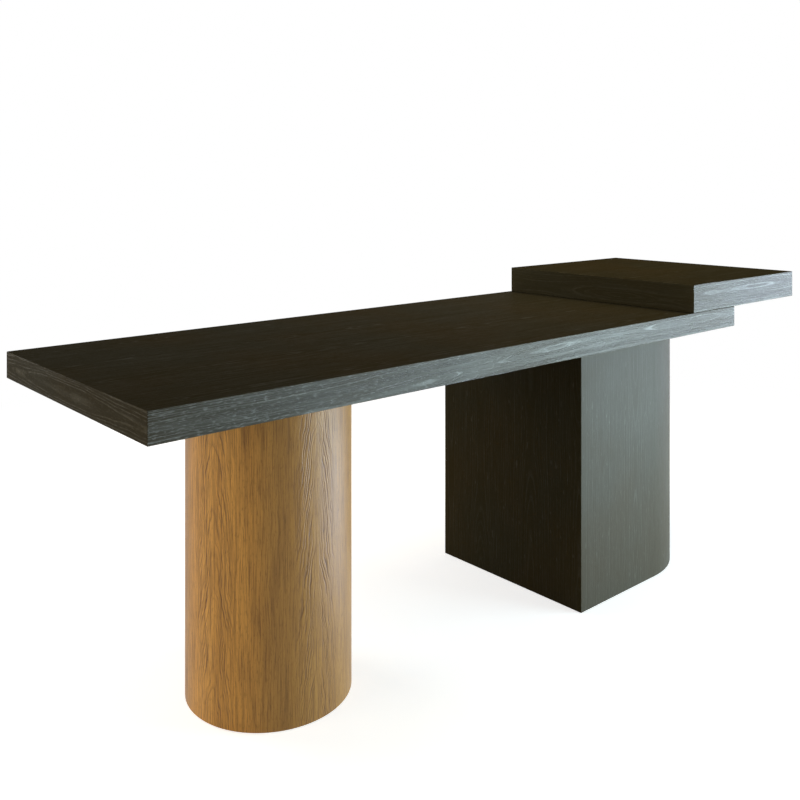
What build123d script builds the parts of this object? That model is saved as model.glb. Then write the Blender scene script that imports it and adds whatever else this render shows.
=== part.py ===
from build123d import *

import math
import os

# A long shop display table: a thick black oak top with a higher slab at its right end,
# carried by a round oak drum and by a black pedestal with one half-round end. Three drawers
# open on the staff side, in the straight back of the pedestal.
#
# Millimetres, +Z up. The origin is on the floor under the middle of the whole table.
# -Y is the customers' side, +Y the staff side, +X the end with the raised slab.

# ---------------------------------------------------------------- driving dimensions
# Main top and raised slab (riser)
TOP_HEIGHT = 900.0  # floor to the main surface
TOP_LENGTH = 2238.0
TOP_DEPTH = 820.0
TOP_THICKNESS = 70.0
RISER_LENGTH = 708.0
RISER_THICKNESS = 95.0
RISER_OVERHANG = 440.0  # how far the riser reaches past the main top's right end
FACE_BOARD = 18.0  # veneered board of every mitre-folded face
BOTTOM_BOARD = 22.0  # board that closes a top from below and takes the threaded inserts
RIB_THICKNESS = 12.0
RIB_PITCH = 260.0  # widest spacing of the core ribs
ARRIS = 1.5  # flat that eases every outer corner

# Drum leg
DRUM_RADIUS = 220.0
DRUM_WALL = 12.0
DRUM_SETBACK = 547.0  # main top's left end to the drum's axis

# Pedestal leg
PEDESTAL_LENGTH = 712.0  # flat left face to the crown of the round end
PEDESTAL_DEPTH = 610.0
PEDESTAL_SETBACK = 31.0  # crown of the round end to the main top's right end
FORMER_COUNT = 2
FORMER_WIDTH = 55.0
FORMER_THICKNESS = 18.0
TOP_RAIL = 40.0
BOTTOM_RAIL = 80.0

# Boards across the legs
LEG_BOARD = 25.0  # top and base boards of both legs
BASE_RECESS = 12.0  # floor to the underside of the base boards
HAND_HOLE_RADIUS = 80.0

# Drawers; the lowest front takes the height that is left
TOP_FRONT_HEIGHT = 160.0
MIDDLE_FRONT_HEIGHT = 210.0
FRONT_THICKNESS = 20.0
FRONT_GAP = 2.5  # beside and below a front
FINGER_GAP = 20.0  # above each front
PULL_LAND = 6.0  # flat on the top edge of a front
PULL_BEVEL = 15.0  # drop of the finger bevel behind that flat
BOX_BOARD = 12.0
BOX_DROP = 30.0  # front's top edge down to the box's rim
BOX_LIFT = 12.0  # front's bottom edge up to the box's bottom edge
BOTTOM_PANEL = 6.0
BOTTOM_PANEL_LIFT = 10.0  # box's bottom edge up to the bottom panel
GROOVE_DEPTH = 5.0
DOVETAIL_PITCH = 40.0
DOVETAIL_PIN = 12.0  # narrow side of a pin between two tails
DOVETAIL_SLOPE = 1 / 7
DOVETAIL_DEPTH = 12.0  # how far the tails reach into a drawer front

# Telescopic slides
SLIDE_LENGTH = 550.0
SLIDE_HEIGHT = 45.0
SLIDE_SPACE = 13.0  # carcase wall to drawer side
SLIDE_SHEET = 1.2
SLIDE_LIP = 4.5  # how far a lip turns in past its flange
SLIDE_PLAY = 0.6  # running clearance between two members
SLIDE_SETBACK = 3.0  # front's back face to the slide's end
SLIDE_LIFT = 38.0  # box's bottom edge up to the middle of the slide

# Levelling feet
FOOT_CIRCLE = 150.0  # radius of the drum's ring of feet
FOOT_INSET = 50.0  # bay's walls to the middle of a foot
NOSE_FOOT_OUT = 150.0  # middle of the round end's arc to its two feet, along X
NOSE_FOOT_ASIDE = 120.0  # and along Y
PAD_WIDTH = 36.0  # across the flats of a foot's hexagon base
PAD_HEIGHT = 5.0
PAD_LIFT = 2.0  # floor to a foot that is screwed right in
STEM_RADIUS = 5.0
STEM_LENGTH = 55.0
STEM_PLAY = 0.3
BUSH_RADIUS = 9.0

# Bolts and inserts that hold the tops
HARDWARE_SIDES = 12  # threaded hardware and its holes are drawn with this many flats
BOLT_RADIUS = 4.0
BOLT_HOLE_PLAY = 0.5
WASHER_RADIUS = 9.0
WASHER_THICKNESS = 1.6
BOLT_HEAD_WIDTH = 13.0  # across flats
BOLT_HEAD_HEIGHT = 5.5
COUNTERBORE_RADIUS = 11.0
COUNTERBORE_DEPTH = 9.0
INSERT_RADIUS = 6.0
INSERT_LENGTH = 18.0
THREAD_PLAY = 0.1
BOLT_TIP = 2.0  # an insert's end past the bolt's
DRUM_BOLT_CIRCLE = 150.0
DRUM_BOLTS = 3
BAY_BOLT_OUT = 70.0  # bay's left wall to its bolts
BAY_BOLT_INSET = 105.0  # pedestal's front and back faces to the bay's bolts
NOSE_BOLT_OUT = 110.0  # middle of the round end's arc to its two bolts, along X
NOSE_BOLT_ASIDE = 120.0  # and along Y
RISER_BOLT_INSET = 60.0  # ends of the lap and long edges to the riser's bolts

# ---------------------------------------------------------------- places that follow
left_end = -(TOP_LENGTH + RISER_OVERHANG) / 2
right_end = left_end + TOP_LENGTH
riser_right = right_end + RISER_OVERHANG
riser_left = riser_right - RISER_LENGTH
half_depth = TOP_DEPTH / 2
riser_top = TOP_HEIGHT + RISER_THICKNESS
leg_height = TOP_HEIGHT - TOP_THICKNESS
leg_board_bottom = leg_height - LEG_BOARD
base_top = BASE_RECESS + LEG_BOARD
drum_x = left_end + DRUM_SETBACK
drum_inner = DRUM_RADIUS - DRUM_WALL
pedestal_half = PEDESTAL_DEPTH / 2
pedestal_left = right_end - PEDESTAL_SETBACK - PEDESTAL_LENGTH
nose_x = pedestal_left + PEDESTAL_LENGTH - pedestal_half
bay_left = pedestal_left + FACE_BOARD
bay_right = nose_x - FACE_BOARD
bay_middle = (bay_left + bay_right) / 2
front_back = pedestal_half - FRONT_THICKNESS
box_half = (bay_right - bay_left) / 2 - SLIDE_SPACE
box_end = front_back - SLIDE_LENGTH

parts = {}


# ---------------------------------------------------------------- shared shapes
def board(x, y, z):
    """A square-edged board between its (low, high) limits along each axis."""
    sizes = [high - low for low, high in (x, y, z)]
    middle = [(high + low) / 2 for low, high in (x, y, z)]
    return Pos(*middle) * Box(*sizes)


def prism(points, low, high):
    """An upright prism over a plan outline, from one height to another."""
    plan = make_face(Polyline(*points, close=True))
    return Pos(0, 0, low) * extrude(plan, high - low)


def rod(x, y, radius, low, high):
    """An upright round bar or the cutter of a round hole."""
    return Pos(x, y, low) * extrude(Circle(radius), high - low)


def stud(x, y, radius, low, high, sides=HARDWARE_SIDES):
    """Threaded hardware, or its hole, as an upright prism with flats at the radius."""
    outline = RegularPolygon(radius, sides, major_radius=False)
    return Pos(x, y, low) * extrude(outline, high - low)


def evenly(low, high, pitch):
    """Places that divide a length into equal spaces no wider than the pitch."""
    spaces = math.ceil((high - low) / pitch)
    return [low + (high - low) * i / spaces for i in range(1, spaces)]


def group(solids):
    """Separate solids kept side by side in one node."""
    return Compound(children=[solid.solid() for solid in solids])


# ---------------------------------------------------------------- tops
def core_ribs(x, y, z):
    """An egg-crate of ribs, long ones slotted from above and cross ones from below."""
    middle = (z[0] + z[1]) / 2
    half = RIB_THICKNESS / 2
    rows = [(c - half, c + half) for c in evenly(*y, RIB_PITCH)]
    columns = [(c - half, c + half) for c in evenly(*x, RIB_PITCH)]
    upper = [board(column, y, (middle, z[1])) for column in columns]
    lower = [board(x, row, (z[0], middle)) for row in rows]
    long_ribs = [board(x, row, z) - upper for row in rows]
    cross_ribs = [board(column, y, z) - lower for column in columns]
    return group(long_ribs + cross_ribs)


def slab(name, x, z, rib_end):
    """A torsion box: one mitre-folded skin and four aprons over a bottom board and core."""
    y = (-half_depth, half_depth)
    block = board(x, y, z)
    eased = chamfer(block.edges(), ARRIS)
    lid = Pos((x[0] + x[1]) / 2, 0, z[1]) * extrude(
        Rectangle(x[1] - x[0], TOP_DEPTH), -FACE_BOARD, taper=45
    )
    parts[name + "_skin"] = eased & lid
    outer = [(x[0], y[0]), (x[1], y[0]), (x[1], y[1]), (x[0], y[1])]
    inside_x = (x[0] + FACE_BOARD, x[1] - FACE_BOARD)
    inside_y = (y[0] + FACE_BOARD, y[1] - FACE_BOARD)
    inner = [
        (inside_x[0], inside_y[0]),
        (inside_x[1], inside_y[0]),
        (inside_x[1], inside_y[1]),
        (inside_x[0], inside_y[1]),
    ]
    for side, side_name in enumerate(("front", "right", "back", "left")):
        after = (side + 1) % 4
        strip = prism([outer[side], outer[after], inner[after], inner[side]], *z)
        parts[f"{name}_apron_{side_name}"] = (eased & strip) - lid
    bottom_top = z[0] + BOTTOM_BOARD
    parts[name + "_bottom_board"] = board(inside_x, inside_y, (z[0], bottom_top))
    cavity = (bottom_top, z[1] - FACE_BOARD)
    parts[name + "_core_ribs"] = core_ribs((inside_x[0], rib_end), inside_y, cavity)
    return inside_x, inside_y, cavity


top_x, top_z = (left_end, right_end), (leg_height, TOP_HEIGHT)
riser_x, riser_z = (riser_left, riser_right), (TOP_HEIGHT, riser_top)
inside_x, inside_y, cavity = slab("top", top_x, top_z, riser_left)
slab("riser", riser_x, riser_z, riser_right - FACE_BOARD)
# Under the lap of the riser the main top is solid, so that its bolts can be drawn tight.
parts["top_lap_block"] = board((riser_left, inside_x[1]), inside_y, cavity)


# ---------------------------------------------------------------- drum leg
def ring(outer, inner, low, high):
    """A flat ring about the drum's axis."""
    return rod(drum_x, 0, outer, low, high) - rod(drum_x, 0, inner, low, high)


def drum_leg():
    """A bent shell with the grain upright, glued round two turned boards."""
    shell = ring(DRUM_RADIUS, drum_inner, 0, leg_height)
    foot_edge = shell.edges().group_by(Axis.Z)[0].sort_by(SortBy.RADIUS)[-1]
    parts["drum_shell"] = chamfer(foot_edge, ARRIS)
    parts["drum_top_board"] = rod(drum_x, 0, drum_inner, leg_board_bottom, leg_height)
    parts["drum_base_board"] = ring(drum_inner, HAND_HOLE_RADIUS, BASE_RECESS, base_top)


drum_leg()


# ---------------------------------------------------------------- pedestal leg
def pedestal_plan(inset):
    """The pedestal's plan taken in all round: three straight sides and a half circle."""
    left, half = pedestal_left + inset, pedestal_half - inset
    straight = Polyline((nose_x, -half), (left, -half), (left, half), (nose_x, half))
    nose = ThreePointArc((nose_x, half), (nose_x + half, 0), (nose_x, -half))
    return make_face([*straight.edges(), nose])


def pedestal_envelope():
    """The whole pedestal with its upright corners and its floor edge eased."""
    whole = extrude(pedestal_plan(0), leg_height)
    corners = whole.edges().filter_by(Axis.Z).group_by(Axis.X)[0]
    whole = chamfer(corners, ARRIS)
    return chamfer(whole.edges().group_by(Axis.Z)[0], ARRIS)


def pedestal_wrap():
    """One bent board: the front, mitred at its left end, and the half-round end."""
    half, inner = pedestal_half, pedestal_half - FACE_BOARD
    outside = ThreePointArc((nose_x, -half), (nose_x + half, 0), (nose_x, half))
    inside = ThreePointArc((nose_x, inner), (nose_x + inner, 0), (nose_x, -inner))
    edges = [
        Line((pedestal_left, -half), (nose_x, -half)),
        outside,
        Line((nose_x, half), (nose_x, inner)),
        inside,
        Line((nose_x, -inner), (bay_left, -inner)),
        Line((bay_left, -inner), (pedestal_left, -half)),
    ]
    return extrude(make_face(edges), leg_height)


def former(middle):
    """A half ring that keeps the bent board round."""
    radius = pedestal_half - FACE_BOARD
    low, high = middle - FORMER_THICKNESS / 2, middle + FORMER_THICKNESS / 2
    hoop = rod(nose_x, 0, radius, low, high) - rod(nose_x, 0, radius - FORMER_WIDTH, low, high)
    return hoop & board((nose_x, nose_x + radius), (-radius, radius), (low, high))


def pedestal_leg():
    """The pedestal's fixed boards."""
    half, inner = pedestal_half, pedestal_half - FACE_BOARD
    envelope = pedestal_envelope()
    parts["pedestal_wrap"] = pedestal_wrap() & envelope
    left_plan = [(pedestal_left, -half), (bay_left, -inner), (bay_left, half), (pedestal_left, half)]
    parts["pedestal_left_panel"] = prism(left_plan, 0, leg_height) & envelope
    rail_x, rail_y = (bay_left, nose_x), (inner, half)
    top_rail = board(rail_x, rail_y, (leg_height - TOP_RAIL, leg_height))
    bottom_rail = board(rail_x, rail_y, (0, BOTTOM_RAIL))
    parts["pedestal_top_rail"] = top_rail
    parts["pedestal_bottom_rail"] = bottom_rail & envelope
    wall = board((bay_right, nose_x), (-inner, half), (base_top, leg_board_bottom))
    parts["pedestal_partition"] = wall - top_rail - bottom_rail
    plan = pedestal_plan(FACE_BOARD)
    parts["pedestal_top_board"] = Pos(0, 0, leg_board_bottom) * extrude(plan, LEG_BOARD)
    hand_hole = rod(nose_x + NOSE_FOOT_OUT, 0, HAND_HOLE_RADIUS, BASE_RECESS, base_top)
    parts["pedestal_base_board"] = Pos(0, 0, BASE_RECESS) * extrude(plan, LEG_BOARD) - hand_hole
    spaces = FORMER_COUNT + 1
    rise = (leg_board_bottom - base_top) / spaces
    parts["pedestal_formers"] = group([former(base_top + rise * i) for i in range(1, spaces)])


pedestal_leg()


# ---------------------------------------------------------------- telescopic slides
def rolled(points, y):
    """A strip of sheet rolled to an open profile in X and Z, running along Y."""
    section = trace(Polyline(*points), SLIDE_SHEET)
    return extrude(Plane.XZ.offset(-y[1]) * section, y[1] - y[0])


def slide_members(middle):
    """The three nested profiles of one slide on the bay's left wall, drawer shut.

    The carcase member is a lipped channel. The middle member runs inside it and is held
    by its lips. The drawer member is a hat whose feet hook behind the middle one's lips.
    """
    y = (front_back - SLIDE_SETBACK - SLIDE_LENGTH, front_back - SLIDE_SETBACK)
    step = SLIDE_SHEET + SLIDE_PLAY
    lips_back = 1.5 * step  # drawer's side to the carcase member's lips
    outer_z = SLIDE_HEIGHT / 2 - SLIDE_SHEET / 2
    outer_x = (bay_left + SLIDE_SHEET / 2, bay_left + SLIDE_SPACE - lips_back)
    members = []
    for layer in range(2):
        low_x, high_x = outer_x[0] + step * layer, outer_x[1] - step * layer
        tall = outer_z - step * layer
        lip = tall - SLIDE_LIP
        channel = [
            (high_x, middle + lip),
            (high_x, middle + tall),
            (low_x, middle + tall),
            (low_x, middle - tall),
            (high_x, middle - tall),
            (high_x, middle - lip),
        ]
        members.append(rolled(channel, y))
    web = bay_left + SLIDE_SPACE - SLIDE_SHEET / 2
    throat = outer_z - step - SLIDE_LIP - SLIDE_PLAY - SLIDE_SHEET / 2
    hook_x = outer_x[1] - step - step
    hook = throat + SLIDE_LIP
    hat = [
        (hook_x, middle + hook),
        (hook_x, middle + throat),
        (web, middle + throat),
        (web, middle - throat),
        (hook_x, middle - throat),
        (hook_x, middle - hook),
    ]
    members.append(rolled(hat, y))
    return members


# ---------------------------------------------------------------- drawers
def tails(y_root, reach, z):
    """Dovetails that flare out from a drawer side's end, across both sides' thickness."""
    count = max(2, round((z[1] - z[0]) / DOVETAIL_PITCH))
    pitch = (z[1] - z[0]) / count
    flare = abs(reach) * DOVETAIL_SLOPE
    wide = (pitch - DOVETAIL_PIN) / 2
    solids = []
    for i in range(count):
        centre = z[0] + pitch * (i + 0.5)
        outline = [
            (y_root, centre - wide + flare),
            (y_root + reach, centre - wide),
            (y_root + reach, centre + wide),
            (y_root, centre + wide - flare),
        ]
        face = make_face(Polyline(*outline, close=True))
        for x in (bay_middle - box_half, bay_middle + box_half - BOX_BOARD):
            solids.append(extrude(Plane.YZ.offset(x) * face, BOX_BOARD))
    return solids


def drawer_front(z):
    """A front with a flat on its top edge and a finger bevel behind that flat."""
    low, high = z
    outline = [
        (pedestal_half, low),
        (pedestal_half, high),
        (pedestal_half - PULL_LAND, high),
        (front_back, high - PULL_BEVEL),
        (front_back, low),
    ]
    x = bay_left + FRONT_GAP
    face = Plane.YZ.offset(x) * make_face(Polyline(*outline, close=True))
    blank = extrude(face, bay_right - FRONT_GAP - x)
    show_edges = blank.edges().filter_by_position(Axis.Y, pedestal_half, pedestal_half)
    return chamfer(show_edges, ARRIS)


def drawer(number, front_z):
    """A dovetailed box on telescopic slides behind its front."""
    low, high = front_z[0] + BOX_LIFT, front_z[1] - BOX_DROP
    panel_z = (low + BOTTOM_PANEL_LIFT, low + BOTTOM_PANEL_LIFT + BOTTOM_PANEL)
    outer_x = (bay_middle - box_half, bay_middle + box_half)
    inner_x = (outer_x[0] + BOX_BOARD, outer_x[1] - BOX_BOARD)
    panel_x = (inner_x[0] - GROOVE_DEPTH, inner_x[1] + GROOVE_DEPTH)
    panel = board(panel_x, (box_end, front_back + GROOVE_DEPTH), panel_z)
    front_tails = tails(front_back, DOVETAIL_DEPTH, (low, high))
    back_z = (panel_z[1], high)
    back_tails = tails(box_end + BOX_BOARD, -BOX_BOARD, back_z)
    back = board(outer_x, (box_end, box_end + BOX_BOARD), back_z) - back_tails
    pair = [
        board((outer_x[0], inner_x[0]), (box_end, front_back), (low, high)),
        board((inner_x[1], outer_x[1]), (box_end, front_back), (low, high)),
    ]
    name = f"drawer_{number}_"
    for side, blank in zip(("left", "right"), pair):
        own_tails = [t for t in front_tails if (t.center().X < bay_middle) == (side == "left")]
        parts[f"{name}side_{side}"] = blank + own_tails - back - panel
    parts[name + "front"] = drawer_front(front_z) - front_tails - panel
    parts[name + "back"] = back
    parts[name + "bottom"] = panel
    across = Plane.YZ.offset(bay_middle)
    members = slide_members(low + SLIDE_LIFT)
    pairs = [[member, mirror(member, about=across)] for member in members]
    carcase_members.extend(pairs[0])
    parts[f"slide_{number}_middle"] = group(pairs[1])
    parts[f"slide_{number}_drawer"] = group(pairs[2])


def front_heights():
    """The (bottom, top) limits of the fronts, from the top drawer down."""
    limits = []
    top = leg_height - TOP_RAIL - FINGER_GAP
    for height in (TOP_FRONT_HEIGHT, MIDDLE_FRONT_HEIGHT):
        limits.append((top - height, top))
        top -= height + FINGER_GAP
    limits.append((BOTTOM_RAIL + FRONT_GAP, top))
    return limits


carcase_members = []
for drawer_number, limits in enumerate(front_heights(), start=1):
    drawer(drawer_number, limits)
parts["slide_carcase_members"] = group(carcase_members)


# ---------------------------------------------------------------- levelling feet
def foot(x, y):
    """A hexagon glide on a threaded stem, screwed right in."""
    top = PAD_LIFT + PAD_HEIGHT
    pad = stud(x, y, PAD_WIDTH / 2, PAD_LIFT, top, sides=6)
    return pad + stud(x, y, STEM_RADIUS, top, top + STEM_LENGTH)


def bush(x, y):
    """The steel bush that a foot's stem screws through."""
    body = stud(x, y, BUSH_RADIUS, BASE_RECESS, base_top)
    return body - stud(x, y, STEM_RADIUS + STEM_PLAY, BASE_RECESS, base_top)


drum_feet = [
    (drum_x + FOOT_CIRCLE * math.cos(math.radians(angle)), FOOT_CIRCLE * math.sin(math.radians(angle)))
    for angle in (90, 210, 330)
]
foot_y = pedestal_half - FACE_BOARD - FOOT_INSET
pedestal_feet = [(bay_left + FOOT_INSET, foot_y * side) for side in (-1, 1)]
pedestal_feet += [(nose_x + NOSE_FOOT_OUT, NOSE_FOOT_ASIDE * side) for side in (-1, 1)]

for leg, places in (("drum", drum_feet), ("pedestal", pedestal_feet)):
    for number, place in enumerate(places, start=1):
        parts[f"{leg}_foot_{number}"] = foot(*place)
        parts[leg + "_base_board"] -= stud(*place, BUSH_RADIUS, BASE_RECESS, base_top)
parts["foot_bushes"] = group([bush(*place) for place in drum_feet + pedestal_feet])


# ---------------------------------------------------------------- bolts and inserts
def bolt(x, y, seat, tip):
    """A hexagon bolt with its washer, head down, from the face it seats on to its tip."""
    head_top = seat - WASHER_THICKNESS
    body = stud(x, y, BOLT_HEAD_WIDTH / 2, head_top - BOLT_HEAD_HEIGHT, head_top, sides=6)
    body += stud(x, y, WASHER_RADIUS, head_top, seat)
    return body + stud(x, y, BOLT_RADIUS, seat, tip)


def insert(x, y, low):
    """A threaded insert flush with the underside of its board."""
    sleeve = stud(x, y, INSERT_RADIUS, low, low + INSERT_LENGTH)
    return sleeve - stud(x, y, BOLT_RADIUS + THREAD_PLAY, low, low + INSERT_LENGTH)


def drill(node, x, y, radius, low, high):
    """A hole for a bolt or an insert in one node."""
    parts[node] -= stud(x, y, radius, low, high)


drum_bolts = []
for i in range(DRUM_BOLTS):
    turn = 2 * math.pi * (i + 0.5) / DRUM_BOLTS
    drum_bolts.append((drum_x + DRUM_BOLT_CIRCLE * math.cos(turn), DRUM_BOLT_CIRCLE * math.sin(turn)))
bay_bolt_y = pedestal_half - BAY_BOLT_INSET
pedestal_bolts = [(bay_left + BAY_BOLT_OUT, bay_bolt_y * side) for side in (-1, 1)]
pedestal_bolts += [(nose_x + NOSE_BOLT_OUT, NOSE_BOLT_ASIDE * side) for side in (-1, 1)]
riser_bolts = [
    (x, side * (half_depth - RISER_BOLT_INSET))
    for x in (riser_left + RISER_BOLT_INSET, right_end - RISER_BOLT_INSET)
    for side in (-1, 1)
]
clear_radius = BOLT_RADIUS + BOLT_HOLE_PLAY
insert_reach = INSERT_LENGTH - BOLT_TIP

bolts, inserts = [], []
for leg, places in (("drum", drum_bolts), ("pedestal", pedestal_bolts)):
    for place in places:
        bolts.append(bolt(*place, leg_board_bottom, leg_height + insert_reach))
        inserts.append(insert(*place, leg_height))
        drill(leg + "_top_board", *place, clear_radius, leg_board_bottom, leg_height)
        drill("top_bottom_board", *place, INSERT_RADIUS, leg_height, leg_height + INSERT_LENGTH)
for place in riser_bolts:
    seat = leg_height + COUNTERBORE_DEPTH
    bolts.append(bolt(*place, seat, TOP_HEIGHT + insert_reach))
    inserts.append(insert(*place, TOP_HEIGHT))
    drill("top_bottom_board", *place, COUNTERBORE_RADIUS, leg_height, seat)
    for node in ("top_bottom_board", "top_lap_block", "top_skin"):
        drill(node, *place, clear_radius, leg_height, TOP_HEIGHT)
    drill("riser_bottom_board", *place, INSERT_RADIUS, TOP_HEIGHT, TOP_HEIGHT + INSERT_LENGTH)
parts["top_bolts"] = group(bolts)
parts["threaded_inserts"] = group(inserts)

# ---------------------------------------------------------------- files
os.makedirs("parts", exist_ok=True)
for node, shape in parts.items():
    export_step(shape, f"parts/{node}.step")
print(len(parts), "nodes")
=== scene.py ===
import math

import bmesh
import bpy
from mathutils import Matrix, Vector


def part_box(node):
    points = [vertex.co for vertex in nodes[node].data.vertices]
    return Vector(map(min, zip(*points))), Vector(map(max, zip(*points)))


# A black oak display table on an oak drum and a black pedestal with drawers, in a plain
# white studio. Metres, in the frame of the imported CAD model.

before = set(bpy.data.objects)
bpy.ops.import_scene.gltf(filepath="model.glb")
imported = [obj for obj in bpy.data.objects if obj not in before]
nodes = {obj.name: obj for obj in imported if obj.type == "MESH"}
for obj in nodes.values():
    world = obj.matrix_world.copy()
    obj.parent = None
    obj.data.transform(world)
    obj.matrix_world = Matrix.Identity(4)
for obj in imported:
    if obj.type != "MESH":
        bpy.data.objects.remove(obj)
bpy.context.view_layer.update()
scene = bpy.context.scene

# ---------------------------------------------------------------- sizes read from the frame
X, Y, Z = 0, 1, 2
drum_low, drum_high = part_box("drum_shell")
DRUM_X = (drum_low.x + drum_high.x) / 2
DRUM_RADIUS = (drum_high.x - drum_low.x) / 2
wrap_low, wrap_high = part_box("pedestal_wrap")
NOSE_RADIUS = (wrap_high.y - wrap_low.y) / 2
NOSE_X = wrap_high.x - NOSE_RADIUS

# ---------------------------------------------------------------- colours, light and camera
STAIN = (0.0222, 0.0187, 0.0088)
STAIN_PALE = (0.24, 0.245, 0.235)
LONG_EDGE_PALE = (0.40, 0.41, 0.40)
END_EDGE_PALE = (0.27, 0.25, 0.19)
OAK_PALE = (0.70, 0.362, 0.083)
OAK_GROUND = (0.605, 0.301, 0.063)
OAK_DEEP = (0.10, 0.039, 0.012)
OAK_PORE = (0.06, 0.022, 0.004)
BIRCH_FACE = (0.62, 0.44, 0.27), (0.70, 0.53, 0.35)
BIRCH_END = (0.30, 0.17, 0.08), (0.42, 0.26, 0.13)
GLUE = (0.16, 0.08, 0.035)
BOARD = (0.27, 0.165, 0.085), (0.35, 0.225, 0.125)
BOARD_FIBRE = (0.16, 0.09, 0.045)
BACKER = (0.013, 0.012, 0.010), (0.026, 0.023, 0.018)
BACKER_DUST = (0.035, 0.032, 0.027)
ZINC = (0.52, 0.54, 0.56), (0.66, 0.67, 0.68)
DARK_STEEL = (0.10, 0.10, 0.11), (0.17, 0.17, 0.18)
FLOOR = (0.84, 0.84, 0.835), (0.87, 0.87, 0.865)
WHITE = (1.0, 1.0, 1.0)

WOOD_IOR = 1.5
PLIES = 9
WEAR_REACH = 0.0035

# The early wood over one year's ring: a sharp start that fades into the dense late wood.
EARLY_WOOD = (0.0, 0.1), (0.13, 1.0), (0.3, 0.5), (0.5, 0.0), (1.0, 0.1)

# The width of the veneer leaves on each kind of face.
SURFACE_LEAF = 0.24
EDGE_LEAF = 0.12
WRAP_LEAF = 0.26
SIDE_LEAF = 0.2
RAIL_LEAF = 0.1
FRONT_LEAF = 0.19
DRUM_LEAF = 2 * math.pi * DRUM_RADIUS / 6

WORLD_LEVEL = 0.27
FLOOR_LIFT = 0.66
FLOOR_RADIUS = 9.0
FLOOR_DROP = 0.0004

# Each lamp's name, place, aim, width, height, watts and colour.
LAMPS = (
    ("key", (2.05, -2.5, 0.6), (0.0, -0.3, 0.6), 1.9, 2.0, 60, (0.71, 0.92, 1.0)),
    ("low_key", (1.9, -2.3, 0.2), (0.4, -0.3, 0.2), 2.0, 0.4, 108, (0.72, 0.95, 1.0)),
    ("fill", (-4.6, 0.8, 1.3), (-0.8, 0.0, 0.6), 2.2, 2.0, 50, (1.0, 0.85, 0.55)),
    ("overhead", (1.1, 0.1, 2.75), (1.0, 0.0, 0.9), 1.3, 1.0, 30, (1.0, 0.85, 0.55)),
    ("back", (-2.4, 3.8, 1.8), (0.0, 0.0, 0.5), 2.6, 1.8, 70, (1.0, 1.0, 1.0)),
)
# Two cards that only the gloss shows: one for the long fronts, one low beside the drum.
GLOSS_CARDS = (
    ("front_card", (3.5, -1.3, 0.65), (-0.4, -0.2, 0.6), 1.7, 2.0, 91, (0.67, 0.77, 1.0)),
    ("drum_card", (-0.086, -0.457, 0.28), (-0.79, 0.0, 0.28), 0.45, 0.56, 5.6, (0.56, 0.72, 1.0)),
)

# The photograph's camera: level, turned about Z, with its frame shifted.
CAMERA_PLACE = (-2.1351, -2.0656, 1.3499)
CAMERA_TURN = -0.719134
CAMERA_SENSOR = 36
CAMERA_LENS = 40.967
CAMERA_SHIFT = -0.27528


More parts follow.
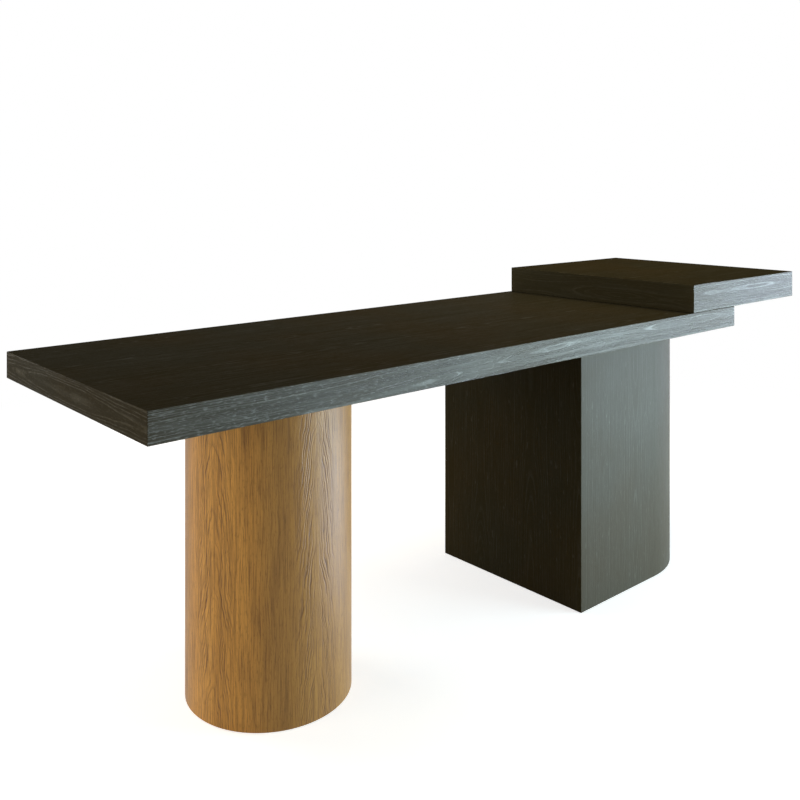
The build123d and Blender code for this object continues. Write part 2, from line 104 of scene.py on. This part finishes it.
# ---------------------------------------------------------------- node building
class Graph:
    """A material's or world's node tree, with short calls that each add one node and link it."""

    def __init__(self, owner):
        self.owner = owner
        owner.use_nodes = True
        self.tree = owner.node_tree
        self.tree.nodes.clear()

    def feed(self, socket, value):
        """Links a socket to another one, or sets its own value."""
        if isinstance(value, bpy.types.NodeSocket):
            self.tree.links.new(value, socket)
        elif isinstance(value, tuple) and len(value) == 3 and socket.type == "RGBA":
            socket.default_value = (*value, 1)
        else:
            socket.default_value = value

    def node(self, kind, inputs=(), output=0, **settings):
        """Adds a node, sets it up and returns one of its outputs."""
        made = self.tree.nodes.new("ShaderNode" + kind)
        for key, value in settings.items():
            setattr(made, key, value)
        for key, value in dict(inputs).items():
            self.feed(made.inputs[key], value)
        return made.outputs[output]

    def math(self, operation, *values, clamp=False):
        return self.node("Math", dict(enumerate(values)), operation=operation, use_clamp=clamp)

    def add(self, a, b):
        return self.math("ADD", a, b)

    def times(self, a, b):
        return self.math("MULTIPLY", a, b)

    def less(self, a, b):
        return self.math("SUBTRACT", a, b)

    def span(self, value, low, high, to_low=0.0, to_high=1.0, smooth=True):
        """Maps a value from one range to another, held at both ends."""
        numbers = {0: value, 1: low, 2: high, 3: to_low, 4: to_high}
        kind = "SMOOTHSTEP" if smooth else "LINEAR"
        return self.node("MapRange", numbers, interpolation_type=kind)

    def vector(self, x, y, z):
        return self.node("CombineXYZ", {0: x, 1: y, 2: z})

    def noise(self, vector, scale=1.0, detail=2.0, rough=0.5):
        """Noise from 0 to 1 about a half."""
        numbers = {"Vector": vector, "Scale": scale, "Detail": detail, "Roughness": rough}
        return self.node("TexNoise", numbers)

    def grain(self, along, across, per_metre, seed, **options):
        """Noise drawn out along the grain, with its cells per metre along and across."""
        point = self.vector(self.times(along, per_metre[0]), self.times(across, per_metre[1]), seed)
        return self.noise(point, **options)

    def mix(self, factor, a, b):
        """A colour between two others."""
        made = self.tree.nodes.new("ShaderNodeMix")
        made.data_type = "RGBA"
        for index, value in ((0, factor), (6, a), (7, b)):
            self.feed(made.inputs[index], value)
        return made.outputs[2]

    def ramp(self, factor, stops):
        """An eased ramp of greys between (place, grey) stops."""
        made = self.tree.nodes.new("ShaderNodeValToRGB")
        made.color_ramp.interpolation = "EASE"
        elements = made.color_ramp.elements
        while len(elements) < len(stops):
            elements.new(0.5)
        for element, (place, grey) in zip(elements, stops):
            element.position = place
            element.color = (grey, grey, grey, 1)
        self.feed(made.inputs[0], factor)
        return made.outputs[0]

    def position(self):
        """X, Y and Z of a point in the frame, as separate values."""
        point = self.node("TexCoord", output=3)
        split = self.tree.nodes.new("ShaderNodeSeparateXYZ")
        self.feed(split.inputs[0], point)
        return tuple(split.outputs)

    def seen(self):
        """1 for camera, gloss and glass rays, which show the studio's white, and 0 for others."""
        path = self.tree.nodes.new("ShaderNodeLightPath")
        seen = self.math("MAXIMUM", path.outputs["Is Camera Ray"], path.outputs["Is Glossy Ray"])
        return self.math("MAXIMUM", seen, path.outputs["Is Transmission Ray"])

    def bump(self, height, distance):
        return self.node("Bump", {"Height": height, "Distance": distance})

    def finish(self, **inputs):
        """Ends a material in a Principled shader; names use _ for a space."""
        shader = self.tree.nodes.new("ShaderNodeBsdfPrincipled")
        for key, value in inputs.items():
            self.feed(shader.inputs[key.replace("_", " ")], value)
        output = self.tree.nodes.new("ShaderNodeOutputMaterial")
        self.tree.links.new(shader.outputs[0], output.inputs[0])
        return self.owner


def new_material(name):
    """The empty node tree of a new material."""
    return Graph(bpy.data.materials.new(name))


# ---------------------------------------------------------------- wood figure
def flat_cut(g, along, across, leaf, spacing, height, seed, waver=0.008, ripple=0.0014,
             drift=0.0, taper=0.0, stretch=1.0):
    """Growth rings of flat-cut veneer leaves laid side by side.

    Each leaf is a slice near the heart of a tapering log: its rings are hyperbolas that run
    straight at the leaf's edges and close into cathedrals along its middle. Waver and ripple
    bend the rings in long and short waves. A drift moves the heart aside, which leaves straight
    grain. The taper stacks the cathedrals along the leaf, and the stretch draws out the breaks
    in the rings. Returns the early wood (0 to 1), the pores (0 to 1) and how near the heart a
    point is.
    """
    number = g.math("FLOOR", g.math("DIVIDE", across, leaf))
    chance = g.node("TexWhiteNoise", {"W": g.add(number, seed)}, output=1, noise_dimensions="1D")
    split = g.tree.nodes.new("ShaderNodeSeparateColor")
    g.feed(split.inputs[0], chance)
    heart_place, log_place = split.outputs[0], split.outputs[1]
    middle = g.times(g.add(number, g.span(heart_place, 0, 1, 0.32, 0.68, smooth=False)), leaf)
    local = g.add(g.less(across, middle), drift)
    shifted = g.add(along, g.times(log_place, 9.0))

    # The rings' distance from the heart, which rises and falls along the leaf.
    swell = g.grain(shifted, number, (1.3, 3.7), seed, detail=1.0)
    depth = g.times(g.less(swell, 0.36), height)
    wave = g.grain(shifted, across, (5.0, 14.0), seed, detail=1.0)
    short = g.grain(shifted, across, (24.0, 40.0), seed, detail=1.0)
    radius = g.math("SQRT", g.add(g.times(local, local), g.times(depth, depth)))
    radius = g.add(radius, g.times(g.less(wave, 0.5), waver))
    radius = g.add(radius, g.times(g.less(short, 0.5), ripple))
    years = g.math("DIVIDE", g.add(radius, g.times(along, taper)), spacing)
    uneven = g.noise(g.vector(g.times(years, 0.45), seed, 0.0), detail=0.0)
    years = g.add(years, g.times(uneven, 2.2))

    early = g.ramp(g.math("FRACT", years), EARLY_WOOD)
    broken = g.grain(shifted, years, (17.0 / stretch, 1.7), seed, detail=3.0, rough=0.6)
    early = g.times(early, g.span(broken, 0.36, 0.6, 0.15, 1.0))
    early = g.times(early, g.span(radius, spacing * 0.5, spacing * 2.6, 0.1, 1.0))

    # Short dashes along the grain, most of them in the early wood.
    bent = g.add(across, g.times(short, 0.006))
    dashes = g.grain(shifted, bent, (62.0, 250.0), seed, detail=1.5, rough=0.6)
    pores = g.times(g.span(dashes, 0.54, 0.64), g.span(early, 0.0, 1.0, 0.5, 1.0, smooth=False))
    heart = g.span(g.math("ABSOLUTE", local), leaf * 0.12, leaf * 0.32, 1.0, 0.0)
    return early, pores, heart


def edge_wear(g, low, high):
    """How near a point is to an arris of the box it belongs to, broken up by noise."""
    point = g.position()
    gaps = []
    for value, start, end in zip(point, low, high):
        to_start = g.math("ABSOLUTE", g.less(value, start))
        to_end = g.math("ABSOLUTE", g.less(value, end))
        gaps.append(g.math("MINIMUM", to_start, to_end))
    least = g.math("MINIMUM", g.math("MINIMUM", gaps[0], gaps[1]), gaps[2])
    most = g.math("MAXIMUM", g.math("MAXIMUM", gaps[0], gaps[1]), gaps[2])
    total = g.add(g.add(gaps[0], gaps[1]), gaps[2])
    second = g.less(total, g.add(least, most))
    rub = g.noise(g.vector(*point), scale=24.0, detail=2.0)
    return g.times(g.span(second, 0.0, WEAR_REACH, 1.0, 0.0), g.span(rub, 0.35, 0.75))


# The next three give a point's place along a face's grain and across it.
def flat_axes(g, along, across, start=0.0, fold=None):
    """A flat board; a fold (axis, place) carries the figure round the board's long arris."""
    point = g.position()
    out = g.less(point[across], start)
    if fold:
        axis, place = fold
        out = g.add(out, g.less(point[axis], place))
    return point[along], out


def drum_axes(g):
    """The drum's upright grain, measured round it from its front."""
    x, y, z = g.position()
    turn = g.math("ARCTAN2", g.less(x, DRUM_X), g.times(y, -1.0))
    return z, g.times(turn, DRUM_RADIUS)


def wrap_axes(g):
    """The pedestal wrap's upright grain, measured along its flat front and round its end."""
    x, y, z = g.position()
    out = g.less(x, NOSE_X)
    turn = g.math("ARCTAN2", g.math("MAXIMUM", out, 0.0), g.times(y, -1.0))
    return z, g.add(g.math("MINIMUM", out, 0.0), g.times(turn, NOSE_RADIUS))


# ---------------------------------------------------------------- finishes
def black_oak(name, axes, box, seed, ground=STAIN, pale=STAIN_PALE, gloss=0.18, rough=0.44,
              leaf=0.21, spacing=0.0072, height=0.14, lines=1.0, relief=0.0005, straight=None,
              flecks=0.0, stretch=1.0):
    """Open-pored oak under a black stain, brushed, with its pores paler than the ground.

    Lines is how strongly the figure shows, and flecks how strongly pale specks do. Straight is
    the stretch along the grain over which straight grain gives way to arches.
    """
    g = new_material(name)
    along, across = axes(g)
    plain = g.span(along, *straight, 1.0, 0.0) if straight else None

    def by_figure(arched, upright):
        """A number with one value where the rings close in arches and another on straight grain."""
        return g.span(plain, 0.0, 1.0, arched, upright, smooth=False) if straight else arched

    drift = by_figure(0.0, 0.05)
    early, pores, _ = flat_cut(g, along, across, leaf, spacing, height, seed, drift=drift,
                               stretch=stretch)
    cloud = g.noise(g.vector(*g.position()), scale=2.3, detail=3.0)
    streak = g.grain(along, across, (4.0, 48.0), seed, detail=4.0, rough=0.6)

    warm = tuple(c * k for c, k in zip(ground, (1.3, 1.05, 0.75)))
    colour = g.mix(g.span(cloud, 0.35, 0.7, 0.0, 0.6), ground, warm)
    middling = tuple(a * 0.8 + b * 0.2 for a, b in zip(ground, STAIN_PALE))
    colour = g.mix(g.times(g.span(streak, 0.42, 0.72), 0.75 * lines), colour, middling)
    colour = g.mix(g.times(early, by_figure(0.46 * lines, 0.44 * lines)), colour, pale)
    colour = g.mix(g.times(pores, by_figure(0.22 * lines, 0.40 * lines)), colour, pale)
    if flecks:
        spots = g.grain(along, across, (26.0, 90.0), seed + 1.0, detail=2.0)
        colour = g.mix(g.span(spots, 0.64, 0.76, 0.0, flecks), colour, pale)
    wear = edge_wear(g, *box)
    worn = tuple(min(1.0, c * 3.0 + 0.012) for c in ground)
    colour = g.mix(g.times(wear, 0.35), colour, worn)

    dulling = g.span(cloud, 0.2, 0.8, rough - 0.02, rough + 0.05)
    roughness = g.add(g.times(early, -0.08), dulling)
    height_map = g.less(g.times(streak, 0.5), g.add(early, g.times(pores, 0.5)))
    return g.finish(Base_Color=colour, Roughness=roughness, IOR=WOOD_IOR, Specular_IOR_Level=gloss,
                    Normal=g.bump(height_map, relief))


def natural_oak(name):
    """The drum's veneer: six upright leaves of oiled oak, each with a wavy heart, and painted light
    and shade on its sides.
    """
    g = new_material(name)
    along, across = drum_axes(g)
    shifted = g.add(across, 0.35)
    early, pores, heart = flat_cut(g, along, shifted, DRUM_LEAF, 0.0085, 0.05, 4.0, waver=0.035,
                                   ripple=0.012, taper=0.16)
    # Painted light and shade: two of the drum's sides are painted darker and the two between them
    # paler, set so that the side toward the fill lamp is pale and the front dark.
    side = math.pi * DRUM_RADIUS / 2
    turned = g.math("PINGPONG", g.add(across, 0.2726), side)
    painted_side_shade = g.span(turned, 0.17 * side, 0.52 * side)
    band = g.grain(along, across, (0.5, 11.0), 2.0, detail=2.0)
    cloud = g.grain(along, across, (3.0, 14.0), 8.0, detail=3.0)
    bend = g.grain(along, across, (5.0, 12.0), 6.0, detail=1.0)
    bent = g.add(across, g.times(bend, 0.016))
    streak = g.grain(along, bent, (4.5, 150.0), 5.0, detail=3.0, rough=0.6)
    fibre = g.grain(along, bent, (9.0, 380.0), 7.0, detail=3.0, rough=0.65)

    colour = g.mix(g.span(band, 0.35, 0.65), OAK_GROUND, OAK_PALE)
    # The painted shade on the drum's darker sides.
    colour = g.mix(g.times(painted_side_shade, 0.54), colour, OAK_DEEP)
    colour = g.mix(g.span(cloud, 0.45, 0.75, 0.0, 0.25), colour, OAK_DEEP)
    colour = g.mix(g.span(streak, 0.45, 0.7, 0.0, 0.4), colour, OAK_DEEP)
    colour = g.mix(g.span(fibre, 0.46, 0.66, 0.0, 0.58), colour, OAK_DEEP)
    rings = g.math("MULTIPLY", early, g.add(g.times(heart, 0.85), 0.12), clamp=True)
    colour = g.mix(rings, colour, OAK_DEEP)
    colour = g.mix(g.times(pores, 0.35), colour, OAK_PORE)

    roughness = g.add(g.times(fibre, 0.1), g.span(cloud, 0.2, 0.8, 0.40, 0.46))
    height_map = g.less(g.times(streak, -0.5), g.add(g.times(fibre, 0.6), g.times(early, heart)))
    return g.finish(Base_Color=colour, Roughness=roughness, IOR=WOOD_IOR, Specular_IOR_Level=0.30,
                    Normal=g.bump(height_map, 0.0008))


def plywood(name, axis, box):
    """Birch plywood: a pale face veneer, with the plies showing along its edges."""
    g = new_material(name)
    point = g.position()
    low, high = box
    thickness = high[axis] - low[axis]
    depth = g.math("DIVIDE", g.less(point[axis], low[axis]), thickness)
    layer = g.math("FLOOR", g.times(depth, PLIES))
    crossed = g.math("MODULO", layer, 2.0)
    first, second = [value for i, value in enumerate(point) if i != axis]
    face = g.grain(first, second, (14.0, 90.0), layer, detail=4.0, rough=0.6)
    end = g.noise(g.vector(*[g.times(value, 420.0) for value in (first, second, point[axis])]))
    colour = g.mix(g.span(face, 0.3, 0.72), *BIRCH_FACE)
    dark = g.mix(g.span(end, 0.35, 0.65), *BIRCH_END)
    colour = g.mix(crossed, colour, dark)
    off_middle = g.math("ABSOLUTE", g.less(g.math("FRACT", g.times(depth, PLIES)), 0.5))
    colour = g.mix(g.span(off_middle, 0.43, 0.5, 0.0, 0.4), colour, GLUE)
    roughness = g.span(face, 0.3, 0.7, 0.46, 0.58)
    return g.finish(Base_Color=colour, Roughness=roughness, IOR=WOOD_IOR,
                    Normal=g.bump(face, 0.0001))


def fibreboard(name):
    """Raw medium-density fibreboard."""
    g = new_material(name)
    point = g.vector(*g.position())
    fibres = g.noise(point, scale=900.0, detail=3.0, rough=0.7)
    cloud = g.noise(point, scale=14.0, detail=3.0)
    colour = g.mix(g.span(cloud, 0.3, 0.7), *BOARD)
    colour = g.mix(g.times(g.span(fibres, 0.5, 0.75), 0.5), colour, BOARD_FIBRE)
    return g.finish(Base_Color=colour, Roughness=g.span(fibres, 0.3, 0.7, 0.78, 0.92),
                    Normal=g.bump(fibres, 0.0001))


def black_backer(name):
    """The undersides: black backing veneer, flat and dull."""
    g = new_material(name)
    x, y, z = g.position()
    grain = g.noise(g.vector(g.times(x, 5.0), g.times(y, 160.0), g.times(z, 160.0)), detail=3.0)
    cloud = g.noise(g.vector(x, y, z), scale=3.0, detail=3.0)
    colour = g.mix(g.span(grain, 0.3, 0.75), *BACKER)
    colour = g.mix(g.times(g.span(cloud, 0.5, 0.8), 0.4), colour, BACKER_DUST)
    return g.finish(Base_Color=colour, Roughness=g.span(grain, 0.3, 0.7, 0.62, 0.72),
                    Specular_IOR_Level=0.3, Normal=g.bump(grain, 0.0001))


def steel(name, colours, rough):
    """Plated steel with faint rolling lines and a mottled plating."""
    g = new_material(name)
    x, y, z = g.position()
    lines = g.noise(g.vector(g.times(x, 900.0), g.times(y, 12.0), g.times(z, 900.0)), detail=2.0)
    mottle = g.noise(g.vector(x, y, z), scale=60.0, detail=4.0)
    colour = g.mix(g.span(mottle, 0.35, 0.65), *colours)
    roughness = g.add(g.span(mottle, 0.3, 0.7, rough - 0.05, rough + 0.06), g.times(lines, 0.05))
    return g.finish(Base_Color=colour, Metallic=1.0, Roughness=roughness,
                    Normal=g.bump(lines, 0.00005))


# ---------------------------------------------------------------- finishes on the CAD nodes
def dress(material, *names):
    """Gives CAD nodes a material in place of the one they came with."""
    for name in names:
        for slot in nodes[name].material_slots:
            slot.material = material


def box_of(*names):
    """Lowest and highest corner of several nodes together."""
    corners = [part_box(name) for name in names]
    low = [min(c[0][i] for c in corners) for i in range(3)]
    high = [max(c[1][i] for c in corners) for i in range(3)]
    return low, high


def dress_slab(part, seed, faint, lift, sheen):
    """A slab's board and aprons: faint is how strongly its ends' figure shows, and lift how far
    their stain is raised. The edges' leaves are centred on the slab's height."""
    aprons = [f"{part}_apron_{side}" for side in ("front", "right", "back", "left")]
    whole = box_of(f"{part}_skin", *aprons)
    low, high = whole
    start = (low[Z] + high[Z] - EDGE_LEAF) / 2

    surface = black_oak(f"{part}_oak_surface", lambda g: flat_axes(g, X, Y), whole, seed,
                        gloss=sheen, rough=0.5, leaf=SURFACE_LEAF, lines=0.15)
    dress(surface, f"{part}_skin")
    long_edge = black_oak(f"{part}_oak_long_edge",
                          lambda g: flat_axes(g, X, Z, start, (Y, low[Y])), whole, seed + 2,
                          pale=LONG_EDGE_PALE, gloss=0.15, leaf=EDGE_LEAF, spacing=0.0052,
                          height=0.08, relief=0.0010, straight=(-1.1, 0.1), stretch=2.5)
    dress(long_edge, aprons[0], aprons[2])
    end_edge = black_oak(f"{part}_oak_end_edge",
                         lambda g: flat_axes(g, Y, Z, start, (X, low[X])), whole, seed + 5,
                         ground=tuple(c * lift for c in STAIN), pale=END_EDGE_PALE, gloss=0.01,
                         leaf=EDGE_LEAF, lines=faint)
    dress(end_edge, aprons[1], aprons[3])


dress_slab("top", 11.0, 0.28, 1.0, 0.0005)
dress_slab("riser", 23.0, 0.14, 1.5, 0.0)

pedestal_box = box_of("pedestal_wrap", "pedestal_left_panel")
dress(black_oak("pedestal_oak_wrap", wrap_axes, pedestal_box, 31.0, gloss=0.2, rough=0.62,
                leaf=WRAP_LEAF, lines=0.1, relief=0.0002, flecks=0.08), "pedestal_wrap")
dress(black_oak("pedestal_oak_side", lambda g: flat_axes(g, Z, Y), pedestal_box, 37.0,
                gloss=0.01, leaf=SIDE_LEAF, lines=0.08, relief=0.0003, flecks=0.06),
      "pedestal_left_panel", "pedestal_partition")
dress(black_oak("pedestal_oak_rail",
                lambda g: flat_axes(g, X, Z, 0.0, (Y, pedestal_box[1][Y])), pedestal_box, 41.0,
                leaf=RAIL_LEAF, lines=0.5), "pedestal_top_rail", "pedestal_bottom_rail")
for name in [f"drawer_{i}_front" for i in (1, 2, 3)]:
    dress(black_oak(name + "_oak", lambda g: flat_axes(g, Z, X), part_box(name), 43.0,
                    leaf=FRONT_LEAF, lines=0.5), name)

dress(natural_oak("drum_oak"), "drum_shell")
for i in (1, 2, 3):
    for piece, axis in (("side_left", X), ("side_right", X), ("back", Y), ("bottom", Z)):
        name = f"drawer_{i}_{piece}"
        dress(plywood(name + "_ply", axis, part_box(name)), name)
dress(fibreboard("raw_fibreboard"), "drum_top_board", "drum_base_board", "pedestal_top_board",
      "pedestal_base_board", "pedestal_formers", "top_core_ribs", "riser_core_ribs", "top_lap_block")
dress(black_backer("black_backing_veneer"), "top_bottom_board", "riser_bottom_board")
slides = [f"slide_{i}_{member}" for i in (1, 2, 3) for member in ("middle", "drawer")]
dress(steel("zinc_plate", ZINC, 0.34), "slide_carcase_members", "top_bolts", "threaded_inserts",
      "foot_bushes", *slides)
feet = [f"drum_foot_{i}" for i in (1, 2, 3)] + [f"pedestal_foot_{i}" for i in (1, 2, 3, 4)]
dress(steel("dark_steel", DARK_STEEL, 0.42), *feet)


# ---------------------------------------------------------------- studio
def pale_floor():
    """A wide pale floor that takes the shadow and fades into the white behind it. From below
    it is clear."""
    mesh = bpy.data.meshes.new("studio_floor")
    form = bmesh.new()
    bmesh.ops.create_circle(form, cap_ends=True, segments=96, radius=FLOOR_RADIUS)
    form.to_mesh(mesh)
    form.free()
    floor = bpy.data.objects.new("studio_floor", mesh)
    floor.location = (0, 0, -FLOOR_DROP)
    scene.collection.objects.link(floor)
    g = new_material("pale_floor")
    x, y, z = g.position()
    away = g.math("SQRT", g.add(g.times(x, x), g.times(y, y)))
    fade = g.span(away, 1.7, 3.6)
    grain = g.noise(g.vector(x, y, 0.0), scale=5.0, detail=4.0)
    matt = g.node("BsdfDiffuse", {"Color": g.mix(g.span(grain, 0.3, 0.7), *FLOOR)})
    seen = g.seen()
    lift = g.node("Emission", {"Color": WHITE, "Strength": g.times(seen, FLOOR_LIFT)})
    near = g.node("AddShader", {0: matt, 1: lift})
    white = g.node("Emission", {"Color": WHITE, "Strength": 1.0})
    far = g.node("MixShader", {0: g.times(fade, seen), 1: near, 2: white})
    under = g.node("NewGeometry", output=6)
    clear = g.node("BsdfTransparent", {"Color": WHITE})
    output = g.tree.nodes.new("ShaderNodeOutputMaterial")
    g.feed(output.inputs[0], g.node("MixShader", {0: under, 1: far, 2: clear}))
    mesh.materials.append(g.owner)


def softbox(name, place, aim, width, height, power, colour):
    """A rectangular area lamp that faces a point."""
    lamp = bpy.data.lights.new(name, "AREA")
    lamp.shape = "RECTANGLE"
    lamp.size, lamp.size_y = width, height
    lamp.energy = power
    lamp.color = colour
    lamp_object = bpy.data.objects.new(name, lamp)
    lamp_object.location = place
    lamp_object.rotation_euler = (Vector(aim) - Vector(place)).to_track_quat("-Z", "Y").to_euler()
    lamp_object.visible_camera = False
    scene.collection.objects.link(lamp_object)
    return lamp_object


def white_world():
    """Even white all round, seen at full white by the camera, gloss and glass."""
    scene.world = bpy.data.worlds.new("studio")
    g = Graph(scene.world)
    strength = g.span(g.seen(), 0.0, 1.0, WORLD_LEVEL, 1.0, smooth=False)
    background = g.node("Background", {"Color": WHITE, "Strength": strength})
    output = g.tree.nodes.new("ShaderNodeOutputWorld")
    g.feed(output.inputs[0], background)


white_world()
pale_floor()
for lamp_values in LAMPS:
    softbox(*lamp_values)
for card_values in GLOSS_CARDS:
    softbox(*card_values).visible_diffuse = False

camera = bpy.data.objects.new("camera", bpy.data.cameras.new("camera"))
camera.location = CAMERA_PLACE
camera.rotation_euler = (math.pi / 2, 0, CAMERA_TURN)
camera.data.sensor_width = CAMERA_SENSOR
camera.data.lens = CAMERA_LENS
camera.data.shift_y = CAMERA_SHIFT
scene.collection.objects.link(camera)
scene.camera = camera
scene.view_settings.view_transform = "Standard"
